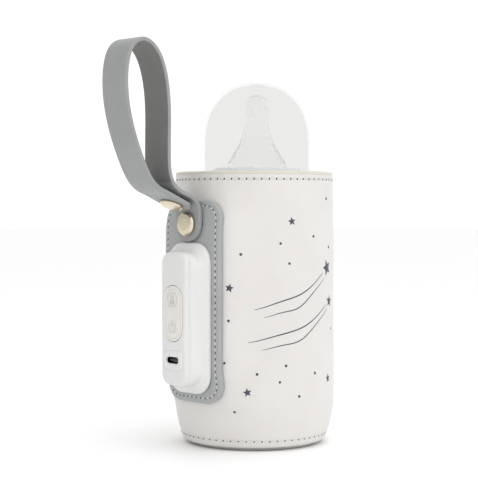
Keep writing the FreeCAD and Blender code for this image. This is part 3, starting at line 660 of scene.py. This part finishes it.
def stitch_row(name, places, lift, hole_size, thread_rad, gap):
    """A row of lock stitches through places, each (point, outward normal); the last joins the first."""
    threads = []
    holes = []
    count = len(places)
    for i in range(count):
        here, out = Vector(places[i][0]), Vector(places[i][1]).normalized()
        there = Vector(places[(i + 1) % count][0])
        along = (there - here).normalized()
        holes.append(dimple(here + out * lift, out, along, *hole_size))
        threads.append(capsule(here + along * gap + out * lift, there - along * gap + out * lift, out,
                               thread_rad, 0.25 * MM))
    thread = merge_rings(name + "_thread", threads, THREAD)
    hole = merge_rings(name + "_holes", holes, HOLE_SHADE)
    for piece in (thread, hole):
        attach(piece, "sleeve")


def round_row(z, stitches):
    """Places of a stitch row round the sleeve."""
    places = []
    for i in range(stitches):
        theta = 2 * math.pi * (i + 0.5) / stitches
        places.append((on_wall(theta, z), (math.sin(theta), -math.cos(theta), 0)))
    return places


def make_binding():
    """The folded strip over the sleeve's rim, and the edge of the cloth lining inside it."""
    out, top, bore = RIM_RAD / MM, RIM_Z / MM, BORE_RAD / MM
    profile = rounded_path([
        (out - 1.3, top - 1.9), (out - 0.05, top - 1.9), (out - 0.1, top - 0.2), (out - 3, top + 0.1),
        (bore + 3, top), (bore + 0.1, top - 0.2), (bore + 0.1, top - 4.5), (bore + 0.8, top - 4.5),
        (bore + 0.9, top - 1.9), (out - 1.3, top - 1.9)], 0.8, 5)
    binding = lathe("rim_binding", in_metres(profile[:-1]), BINDING, turns=256)
    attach(binding, "sleeve")
    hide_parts("top_binding")


def make_base():
    """The round base panel under the sleeve, with a soft edge and a shallow pressed ring."""
    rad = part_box("base_panel")[1].x / MM
    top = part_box("base_panel")[1].z / MM
    profile = rounded_path([(0, 0.5), (rad - 9, 0.5), (rad - 8, 0), (rad - 1.2, 0), (rad, 1), (rad, top),
                            (0, top)], 0.8, 4)
    panel = lathe("base_cover", in_metres(profile), BASE, turns=160)
    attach(panel, "sleeve")
    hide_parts("base_panel")


# ---- the print
def star_outline(size, turn):
    """Ten corner points of a five-pointed star."""
    points = []
    for i in range(10):
        reach = size if i % 2 == 0 else size * 0.45
        angle = turn + math.pi / 2 + i * math.pi / 5
        points.append((reach * math.cos(angle), reach * math.sin(angle)))
    return points


def disc_outline(size, sides=18):
    return [(size * math.cos(a), size * math.sin(a)) for a in circle(sides)]


PRINT_SINK = -0.05 * MM
PRINT_THICK = 0.06 * MM


def printed(outline, theta, z):
    """A flat outline laid on the skin, its back just inside the leather."""
    rings = []
    for lift in (PRINT_SINK, PRINT_THICK):
        ring = []
        for across, up in outline:
            here = z + up
            angle = theta + across / float(wall_radius(theta, here))
            ring.append(on_wall(angle, here, lift))
        rings.append(ring)
    return rings


# angle from -Y in degrees, height in mm, size in mm, turn in degrees
STARS = [(72, 121, 2.3, 8), (29.5, 86.5, 2.4, -12), (40.5, 32, 2.4, 10), (110, 36.5, 2.5, 5),
         (168, 118, 2.3, 14), (214, 60, 2.4, -8), (262, 104, 2.3, 12), (300, 38, 2.4, -15)]
TRAIL_HEADS = [(108, 96, 4.6, 18), (112, 78, 3.4, -6)]
# angle from -Y in degrees, height in mm, radius in mm
DOTS = [(108, 133, 0.85), (91, 113, 0.75), (111.5, 107, 0.8), (63.5, 109.5, 0.7), (36.5, 104, 0.75),
        (70, 99, 0.7), (29, 69.5, 0.75), (26.5, 47.5, 0.7), (47, 41.5, 0.75), (67.5, 45.5, 0.75),
        (63, 37, 0.7), (92.5, 40.5, 0.8),
        (78, 29, 0.75), (31.5, 21.5, 0.7), (115.5, 63, 0.6), (140, 92, 0.75), (152, 48, 0.7), (186, 84, 0.8),
        (200, 126, 0.7), (236, 90, 0.75), (248, 32, 0.7), (282, 70, 0.8), (322, 112, 0.7), (328, 62, 0.75)]


def trail(start, end, sag, waves, width):
    """A printed line on the skin: swept, gently waving, and thin at both ends."""
    t = np.linspace(0, 1, 60)
    bow = np.sin(math.pi * t)
    theta = np.radians(start[0] + (end[0] - start[0]) * t)
    z = (start[1] + (end[1] - start[1]) * t - sag * bow + 0.9 * np.sin(waves * 2 * math.pi * t) * bow) * MM
    half = width * MM * (0.25 + 0.75 * bow ** 0.7) / 2
    rings = []
    for i in range(len(t)):
        before = max(i - 1, 0)
        after = min(i + 1, len(t) - 1)
        run = Vector(((theta[after] - theta[before]) * SIDE, z[after] - z[before])).normalized()
        across = Vector((-run.y, run.x)) * half[i]
        left = (theta[i] + across.x / SIDE, z[i] + across.y)
        right = (theta[i] - across.x / SIDE, z[i] - across.y)
        rings.append([on_wall(*left, PRINT_SINK), on_wall(*right, PRINT_SINK),
                      on_wall(*right, PRINT_THICK), on_wall(*left, PRINT_THICK)])
    return rings


def make_print():
    """Stars and dots, and a generic shooting-star motif where the real one has words."""
    shapes = [printed(star_outline(size * MM, math.radians(turn)), math.radians(angle), z * MM)
              for angle, z, size, turn in STARS + TRAIL_HEADS]
    shapes += [printed(disc_outline(size * MM), math.radians(angle), z * MM) for angle, z, size in DOTS]
    trails = [trail((45, 75), (102, 93.5), 3.0, 1.0, 0.66), trail((52, 71), (103.5, 90.5), 4.0, 1.5, 0.56),
              trail((41, 58), (107, 76.5), 3.5, 1.0, 0.66), trail((50, 54), (108, 74), 4.5, 1.5, 0.56)]
    prints = merge_rings("printed_pattern", shapes + trails, PRINT)
    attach(prints, "sleeve")


# ---- the patch
PATCH_MID_Z = (PATCH_LOW.z + PATCH_HIGH.z) / 2
PATCH_HALF_Z = (PATCH_HIGH.z - PATCH_LOW.z) / 2
PATCH_ROUND = 11.0 * MM
PATCH_STITCHES = 80
STITCH_INSET = 2.9 * MM
PATCH_HALF_X = HALF_FLAT - 1.2 * MM


def patch_outline(inset, count):
    """The patch's outline, or one inside it."""
    return rounded_rect(PATCH_HALF_X - inset, PATCH_HALF_Z - inset, PATCH_ROUND - inset, count)


def drape(outline, distance):
    """An outline of the patch at a distance, moved back to follow the skin where the panel isn't flat."""
    x, z = np.array(outline).T
    z = z + PATCH_MID_Z
    y = -(distance - FLAT + wall_front(x, z))
    return list(zip(x, y, z))


def make_patch():
    """The grey patch: two leather layers with soft edges and a pressed stitch line."""
    count = PATCH_STITCHES * 4
    back = FLAT / MM + 0.03
    front = PATCH_FRONT / MM
    middle = (back + front) / 2
    stations = [(16.0, back), (9.0, back), (4.0, back), (0.9, back), (0.35, back + 0.15),
                (0.25, middle - 0.25),
                (0.5, middle - 0.06), (0.5, middle + 0.06), (0.05, middle + 0.25), (0.0, middle + 0.5),
                (0.0, front - 0.55), (0.15, front - 0.3), (0.45, front - 0.12), (1.0, front - 0.03),
                (1.9, front + 0.02), (2.4, front - 0.06), (2.9, front - 0.17), (3.4, front - 0.06),
                (4.0, front + 0.03), (6.5, front + 0.06), (9.0, front + 0.06), (12.0, front + 0.06),
                (16.0, front + 0.06)]
    rings = [drape(patch_outline(inset * MM, count), distance * MM) for inset, distance in stations]
    patch = ring_piece("grey_patch", rings, PATCH)
    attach(patch, "sleeve")
    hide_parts("patch_face", "patch_core")
    row = patch_outline(STITCH_INSET, PATCH_STITCHES)
    places = [(place, (0, -1, 0)) for place in drape(row, PATCH_FRONT - 0.14 * MM)]
    stitch_row("patch", places, 0.0, (0.62 * MM, 0.42 * MM), 0.27 * MM, 0.75 * MM)


# ---- the control box
CASE_HALF_X = CASE_HIGH.x
CASE_MID_Z = (CASE_LOW.z + CASE_HIGH.z) / 2
CASE_HALF_Z = (CASE_HIGH.z - CASE_LOW.z) / 2
CASE_FRONT = PAD_FRONT - 0.5 * MM
FACE_HALF_X = 9.75 * MM


def case_ring(share, drop, inset, count):
    """One outline of the box: share is 0 at its base and 1 at its front face, drop shortens both its ends."""
    half_x = CASE_HALF_X - share * (CASE_HALF_X - FACE_HALF_X) - inset
    half_z = CASE_HALF_Z - drop - inset
    radius = 10.5 * MM - share * 4.2 * MM - inset * 0.6
    return rounded_rect(half_x, half_z, radius, count)


def make_case():
    """The white moulded front: a flared base rim, smooth flanks, end scoops, pill and socket openings."""
    count = 256
    base = PATCH_FRONT + 0.12 * MM
    height = CASE_FRONT - base
    full = height / MM
    profile = [(0.0, 0.0, 0.35, 0.0), (0.0, 0.0, 0.0, 0.35), (0.0, 0.0, 0.0, 1.1), (0.01, 0.1, 0.0, 1.6)]
    for depth in np.linspace(2.0, full - 2.5, 26):
        t = (depth - 1.6) / (full - 1.6)
        valley = 0.55 * math.exp(-((depth - 5.0) / 1.3) ** 2)
        drop = 4.0 * float(smooth(depth, 1.2, 4.8)) + 0.7 * t + valley
        share = 0.13 * float(smooth(depth, 1.3, 4.0)) + 0.87 * (0.70 * t + 0.30 * t ** 2.4)
        profile.append((share, drop, 0.0, depth))
    for angle in np.linspace(10, 90, 9):
        turn = math.radians(angle)
        share = 0.94 + 0.06 * math.sin(turn)
        drop = 4.65 + 0.1 * math.sin(turn)
        profile.append((share, drop, 1.9 * (1 - math.cos(turn)), full - 2.3 + 2.3 * math.sin(turn)))
    profile.append((1.0, 4.75, 4.0, full + 0.02))
    rings = []
    for share, drop, inset, depth in profile:
        ring = case_ring(share, drop * MM, inset * MM, count)
        rings.append([(x, -(base + depth * MM), CASE_MID_Z + z) for x, z in ring])
    case = ring_piece("case_shell", rings, WHITE)
    clear_front = CASE_FRONT + 3 * MM
    pill = pill_rings(KEYS_LOW, KEYS_HIGH, 0.32 * MM, [(0, CASE_FRONT - 1.8 * MM), (0, clear_front)], 96)
    carve(case, ring_piece("pill_tool", pill, WHITE))
    slot = pill_rings(USB_LOW, USB_HIGH, 0.1 * MM, [(0, CASE_FRONT - 3.5 * MM), (0, clear_front)], 64)
    carve(case, ring_piece("slot_tool", slot, WHITE))
    case.data.polygons.foreach_set("use_smooth", [True] * len(case.data.polygons))
    sharpen(case, 40)
    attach(case, "sleeve")
    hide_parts("case_front", "button_gasket")
    make_usb_surround()


def sharpen(piece, angle):
    """Keep edges sharper than angle sharp in the shading."""
    piece.data.set_sharp_from_angle(angle=math.radians(angle))


def pill_rings(low, high, grow, stations, count):
    """Outlines of the pill shape between low and high, widened by grow; stations are (inset, distance)."""
    half_x = (high.x - low.x) / 2 + grow
    half_z = (high.z - low.z) / 2 + grow
    rings = []
    for inset, distance in stations:
        ring = rounded_rect(half_x - inset, half_z - inset, min(half_x, half_z) - inset, count)
        rings.append([(x, -distance, (low.z + high.z) / 2 + z) for x, z in ring])
    return rings


def make_usb_surround():
    """The raised frame round the charging slot: a rounded rectangle with a soft outer slope."""
    count = 96
    outer_x, outer_z, outer_round = 7.4, 5.2, 2.6
    outline = []
    for inset, rise in ((0.0, -0.35), (0.0, 0.05), (0.15, 0.38), (0.4, 0.62), (0.8, 0.75), (1.3, 0.78)):
        outline.append((rise, outer_x - inset, outer_z - inset, outer_round - inset * 0.6))
    inner_x = (USB_HIGH.x - USB_LOW.x) / 2 / MM + 0.12
    inner_z = (USB_HIGH.z - USB_LOW.z) / 2 / MM + 0.12
    for grow, rise in ((0.5, 0.76), (0.15, 0.62), (0.0, 0.2), (0.0, -0.35)):
        outline.append((rise, inner_x + grow, inner_z + grow, inner_z + grow))
    rings = []
    for rise, half_x, half_z, corner in outline:
        ring = rounded_rect(half_x * MM, half_z * MM, corner * MM, count)
        rings.append([(x, -(CASE_FRONT + rise * MM), USB_Z + z) for x, z in ring])
    surround = ring_piece("usb_surround", rings, WHITE, closed=True)
    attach(surround, "sleeve")


def make_pad():
    """The silicone pad: two keys that meet in the middle."""
    crown = 0.35 * MM
    stations = [(0.0, CASE_FRONT - 1.6 * MM), (0.0, PAD_FRONT - 0.35 * MM), (0.12, PAD_FRONT - 0.12 * MM),
                (0.45, PAD_FRONT)]
    stations = [(inset * MM, distance) for inset, distance in stations]
    groove = ((0.75, 0.0), (1.0, 0.10), (1.2, 0.42), (1.55, 0.50), (1.9, 0.40), (2.15, 0.14))
    stations += [(inset * MM, PAD_FRONT - dip * MM) for inset, dip in groove]
    for inset in np.linspace(2.5, 7.1, 12):
        stations.append((inset * MM, PAD_FRONT + crown * 0.12 * math.sin(math.pi / 2 * inset / 7.2)))
    for name, body, upper in (("mode_key", "mode_button", True), ("power_key", "power_button", False)):
        key = ring_piece(name, pill_rings(KEYS_LOW, KEYS_HIGH, 0.0, stations, 96), SILICONE)
        keep_half(key, PAD_MID_Z, upper)
        sharpen(key, 50)
        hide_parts(body)
        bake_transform(key)
        icon = make_bottle_icon() if upper else make_power_icon()
        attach(icon, body)


def keep_half(piece, z, upper):
    """Cut a closed piece at a height, keep one side and close the cut."""
    work = bmesh.new()
    work.from_mesh(piece.data)
    parts = work.verts[:] + work.edges[:] + work.faces[:]
    normal = (0, 0, -1) if upper else (0, 0, 1)
    done = bmesh.ops.bisect_plane(work, geom=parts, dist=1e-7, plane_co=(0, 0, z), plane_no=normal,
                                  clear_outer=True)
    rim = [e for e in done["geom_cut"] if isinstance(e, bmesh.types.BMEdge)]
    bmesh.ops.holes_fill(work, edges=rim, sides=0)
    bmesh.ops.recalc_face_normals(work, faces=work.faces)
    work.to_mesh(piece.data)
    work.free()


def embossed(path, width, closed=False, steps=6):
    """A raised rounded line on the pad's face along (x, z) points in mm."""
    rings = []
    count = len(path)
    for i in range(count + (1 if closed else 0)):
        x, z = path[i % count]
        before = path[(i - 1) % count] if closed else path[max(i - 1, 0)]
        after = path[(i + 1) % count] if closed else path[min(i + 1, count - 1)]
        run = Vector((after[0] - before[0], after[1] - before[1])).normalized()
        ring = []
        for angle in circle(steps * 2):
            side = width / 2 * math.cos(angle)
            lift = 0.42 * math.sin(angle)
            ring.append(((x - run.y * side) * MM, -PAD_FRONT - lift * MM,
                         PAD_MID_Z + (z + run.x * side) * MM))
        rings.append(ring)
    return rings


def make_power_icon():
    """The usual power symbol: an open ring and an upright bar."""
    centre = -7.2
    ring = [(2.6 * math.sin(a), centre + 2.6 * math.cos(a)) for a in np.radians(np.linspace(38, 322, 40))]
    bar = [(0.0, centre + 0.6), (0.0, centre + 3.4)]
    return merge_rings("power_icon", [embossed(ring, 0.75), embossed(bar, 0.75)], ICON_SHADE)


def make_bottle_icon():
    """A plain bottle outline with level marks, in a ring."""
    centre = 7.2
    ring = [(3.7 * math.sin(a), centre + 3.7 * math.cos(a)) for a in np.radians(np.arange(0, 360, 9))]
    right = [(1.2, -2.1), (1.2, 0.6), (0.6, 1.2), (0.6, 2.0)]
    left = [(-x, z) for x, z in right[::-1]]
    bottle = [(x, centre + z) for x, z in left[3:] + right + left[:3]]
    shapes = [embossed(ring, 0.6, closed=True), embossed(bottle, 0.5, closed=True)]
    shapes += [embossed([(-0.3, centre + z), (0.8, centre + z)], 0.3) for z in (-1.3, -0.5)]
    return merge_rings("bottle_icon", shapes, ICON_SHADE)


# ---- the strap
SNAP_TILT = math.radians(22.5)
SNAP_CENTRE = (-60.0, 131.2)
LAYER_STEP = 4.4
FLAP_TIP = 8.2


def slope_point(along, off=0.0):
    """A point on the free end's slope: along it towards its tip, and off its lower face, in mm."""
    y = SNAP_CENTRE[0] + along * math.cos(SNAP_TILT) - off * math.sin(SNAP_TILT)
    z = SNAP_CENTRE[1] - along * math.sin(SNAP_TILT) - off * math.cos(SNAP_TILT)
    return y, z


def strap_route():
    """The strap's middle line as (y, z) in mm, from the riveted tab over the loop to the free end's tip."""
    tab = (TAB_LOW.y + TAB_HIGH.y) / 2 / MM
    rivet = RIVET_Z / MM
    lower = [(tab, rivet - STRAP_HALF / MM), (tab, rivet - 5), (tab, rivet), (tab, rivet + 4), (tab, 126.0),
             (tab - 0.6, 128.4), (tab - 2.2, 131.0)]
    at_snap = [slope_point(5, -LAYER_STEP), slope_point(0, -LAYER_STEP), slope_point(-5, -LAYER_STEP)]
    upper = [(-66.9, 140.6), (-69.4, 146.0), (-70.1, 153), (-70.0, 168), (-70.2, 182), (-71.6, 193),
             (-75.0, 203.6), (-80.4, 210.5), (-87.2, 212.9), (-93.4, 210.0), (-97.0, 203.0), (-98.3, 194),
             (-97.9, 184), (-95.6, 172.4), (-90.2, 157.5), (-86.2, 149.2), (-82.0, 142.6)]
    free = [slope_point(-18.2), slope_point(-12), slope_point(-6), slope_point(0), slope_point(FLAP_TIP)]
    return lower + at_snap + upper + free


def strap_section(half_width):
    """The strap's section as (across, through) points: soft corners, and a faint glue line on each edge."""
    half = STRAP_THICK / 2
    side = [(0, -half), (half_width * 0.5, -half)]
    for inset, share in ((0.9, 1), (0.45, 0.96), (0.14, 0.78), (0, 0.45), (0, 0.12), (0.1, 0)):
        side.append((half_width - inset * MM, -half * share))
    right = side + [(x, -y) for x, y in side[-2::-1]]
    left = [(-x, y) for x, y in right[-2:0:-1]]
    return right + left


def round_end(distance, corner):
    """How much narrower the strap is at a distance from its rounded end."""
    if distance >= corner:
        return 0.0
    return corner - math.sqrt(max(corner ** 2 - (corner - distance) ** 2, 0.0))


def make_strap():
    """The strap as two pieces that meet at the top of the loop."""
    points = natural_spline(strap_route(), 420) * MM
    run = run_along(points)
    rings = []
    for i, (y, z) in enumerate(points):
        before = points[max(i - 1, 0)]
        after = points[min(i + 1, len(points) - 1)]
        along = (after - before) / np.linalg.norm(after - before)
        narrow = round_end(run[i] + 0.02 * MM, STRAP_HALF) + round_end(run[-1] - run[i] + 0.02 * MM, 6.5 * MM)
        rings.append([(across, y - along[1] * through, z + along[0] * through)
                      for across, through in strap_section(STRAP_HALF - narrow)])
    top = int(np.argmax(points[:, 1]))
    near = ring_piece("strap_riveted_part", rings[:top + 1], GREY)
    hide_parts("strap_tab", "strap_loop")
    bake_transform(near)
    far = ring_piece("strap_snap_part", rings[top:], GREY)
    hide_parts("strap_flap")
    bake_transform(far)
    for piece in (near, far):
        shade_loop_inside(piece)


# the section's points on the loop's inner side, and the height where the loop starts
INNER_SIDE = range(11, 18)
LOOP_FOOT = 141 * MM


def shade_loop_inside(piece):
    """Paint shade on the loop's inner side: its faces there take a darker copy of the strap leather."""
    size = len(strap_section(STRAP_HALF))
    # painted shade: the darker leather goes on the loop's inner faces
    piece.data.materials.append(LOOP_SHADE)
    for face in piece.data.polygons:
        inner = all(corner % size in INNER_SIDE for corner in face.vertices)
        if inner and len(face.vertices) == 4 and face.center.z > LOOP_FOOT:
            face.material_index = 1


def turned_cap(name, base, direction, thick):
    """A polished snap cap on its base point, looking along direction: flat crown, bevel, rolled edge."""
    rad = CAP_RAD / MM
    tall = thick / MM
    profile = [(0, tall), (rad * 0.55, tall - 0.02), (rad - 1.25, tall - 0.1), (rad - 0.95, tall - 0.22),
               (rad - 0.35, tall - 0.72), (rad - 0.08, tall - 1.05), (rad, tall - 1.35), (rad - 0.06, 0.35),
               (rad - 0.4, 0.05), (0, 0)]
    out = Vector(direction).normalized()
    side = Vector((1, 0, 0))
    up = out.cross(side)
    rings = []
    for radius, height in in_metres(rounded_path(profile, 0.3, 4)):
        rings.append(oval(Vector(base) + out * height, side, up, radius, radius, 96))
    cap = ring_piece(name, rings, GOLD, caps=False)
    weld(cap, 1e-6)
    return cap


def make_caps():
    """The rivet's cap on the tab and the snap's cap on the free end."""
    base_y = RIVET_HIGH.y
    rivet = turned_cap("rivet_button", (0, base_y, RIVET_Z), (0, -1, 0), base_y - RIVET_LOW.y)
    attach(rivet, "sleeve")
    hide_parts("rivet_cap")
    y, z = slope_point(0, STRAP_THICK / 2 / MM + 0.02)
    down = (0, -math.sin(SNAP_TILT), -math.cos(SNAP_TILT))
    snap = turned_cap("snap_button", (0, y * MM, z * MM), down, 2.2 * MM)
    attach(snap, "strap_flap")
    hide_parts("snap_cap")


# ---- the bottle
def dome_profile():
    """The dome's section: a straight side, a softly squared top with a faint ring inside, and a thin foot."""
    low = DOME_LOW.z
    shoulder = 163.0 * MM
    wall = 1.3 * MM
    outside = []
    inside = []
    for t in np.linspace(0, 1, 72):
        angle = t * math.pi / 2
        across = math.cos(angle) ** 0.889
        rise = math.sin(angle) ** 0.909
        ring = 0.5 * MM * math.exp(-(((DOME_RAD - wall) * across - 5.4 * MM) / (0.7 * MM)) ** 2)
        outside.append((DOME_RAD * across, shoulder + (DOME_HIGH.z - shoulder) * rise))
        inside.append(((DOME_RAD - wall) * across, shoulder + (DOME_HIGH.z - wall - shoulder) * rise - ring))
    outside[-1] = (0.0, DOME_HIGH.z)
    inside[-1] = (0.0, DOME_HIGH.z - wall)
    foot = [(DOME_RAD - wall, low), (DOME_RAD - 0.3 * MM, low), (DOME_RAD, low + 0.3 * MM)]
    return foot + outside + inside[::-1]


def make_dome():
    dome = lathe("clear_dome", dome_profile(), DOME, BOTTLE_Y, 160)
    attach(dome, "dome")
    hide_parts("dome_cap")


RIBS = 60


def make_collar():
    """The screw collar: grip ribs on its skirt, a ledge for the dome and a sloped top round the teat."""
    low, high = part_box("bottle_collar")
    foot, top, skirt = low.z / MM, high.z / MM, high.x / MM
    ledge = DOME_LOW.z / MM - 0.4
    boss = 27.7
    inner = 26.1
    profile = rounded_path([
        (inner, foot), (skirt - 0.7, foot), (skirt - 0.25, foot + 1.2), (skirt - 0.25, ledge - 1.2),
        (skirt - 0.9, ledge), (boss, ledge), (boss, top - 3.6), (22.8, top), (17.6, top), (17, top - 0.5),
        (17, top - 1.8), (inner, top - 1.8)], 0.6, 4)
    theta = circle(4 * RIBS)
    rings = []
    for radius, height in profile:
        depth = 0.22 if radius > skirt - 1 else 0
        ribbed = (radius + depth * np.cos(RIBS * theta)) * MM
        rings.append(hoop(ribbed, theta, height * MM, BOTTLE_Y))
    collar = ring_piece("ribbed_collar", rings, COLLAR, closed=True)
    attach(collar, "collar")
    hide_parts("bottle_collar")


def make_teat():
    """The silicone teat: a flange, a sloped skirt, a neck and a rounded tip."""
    low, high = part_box("teat")
    foot, top, flange = low.z / MM, high.z / MM, high.x / MM
    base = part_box("bottle_collar")[1].z / MM
    wall = 1.5
    outside = [(flange, foot), (flange, base - 2.1), (16, base - 2.1), (16, base + 2.6), (15.4, base + 3.4),
               (12.6, base + 8), (9.4, base + 13.2), (7.6, base + 18.6), (6.3, base + 22.5), (6.1, base + 29),
               (6.6, top - 6.5), (5.6, top - 2.4), (3.2, top - 0.5), (0, top)]
    inside = [(0, top - wall), (2.6, top - wall - 0.6), (4.4, top - 3.4), (5.1, top - 6.6), (4.6, base + 29),
              (4.8, base + 22), (6, base + 18), (7.9, base + 12.6), (11.2, base + 7.2), (13, base + 3),
              (13.4, foot)]
    profile = rounded_path(outside, 2.2, 5) + rounded_path(inside, 1.8, 5)
    teat = lathe("soft_teat", in_metres(profile), TEAT, BOTTLE_Y, 128)
    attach(teat, "collar")
    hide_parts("teat")


# ---- materials of the parts that stay
KEPT = {
    "heater_film": FOIL, "inner_lining": LINING, "base_pad": FOAM, "floor_lining": LINING,
    "temperature_sensor": BLACK, "heater_leads": BLACK, "lead_grommet": BLACK, "stiffener_board": BOARD,
    "case_back": WHITE, "case_screws": PLAIN_STEEL, "circuit_board": CIRCUIT, "board_parts": BLACK,
    # the socket's shell takes the near-black steel: painted shade of the slot's inside
    "tact_switches": BLACK, "usb_shell": SOCKET_SHADE_STEEL, "usb_tongue": TONGUE, "rivet_post": PLAIN_STEEL,
    "rivet_washer": PLAIN_STEEL, "snap_stud": GOLD, "snap_eyelet": GOLD, "snap_socket": GOLD,
    "bottle_body": BOTTLE,
}


def dress_kept():
    """Give each CAD part that stays its own finished material."""
    for node, material in KEPT.items():
        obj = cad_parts[node]
        for slot in obj.material_slots:
            slot.material = material
        if not obj.material_slots:
            obj.data.materials.append(material)


make_camera()
make_stage()
make_skin()
make_foam()
make_binding()
make_base()
stitch_row("rim", round_row(RIM_ROW, RIM_STITCHES), 0.02 * MM, (0.42 * MM, 0.62 * MM), 0.24 * MM, 0.7 * MM)
stitch_row("foot", round_row(FOOT_ROW, FOOT_STITCHES), 0.02 * MM, (0.42 * MM, 0.55 * MM), 0.24 * MM, 0.7 * MM)
make_print()
make_patch()
make_case()
make_pad()
make_strap()
make_caps()
make_dome()
make_collar()
make_teat()
dress_kept()
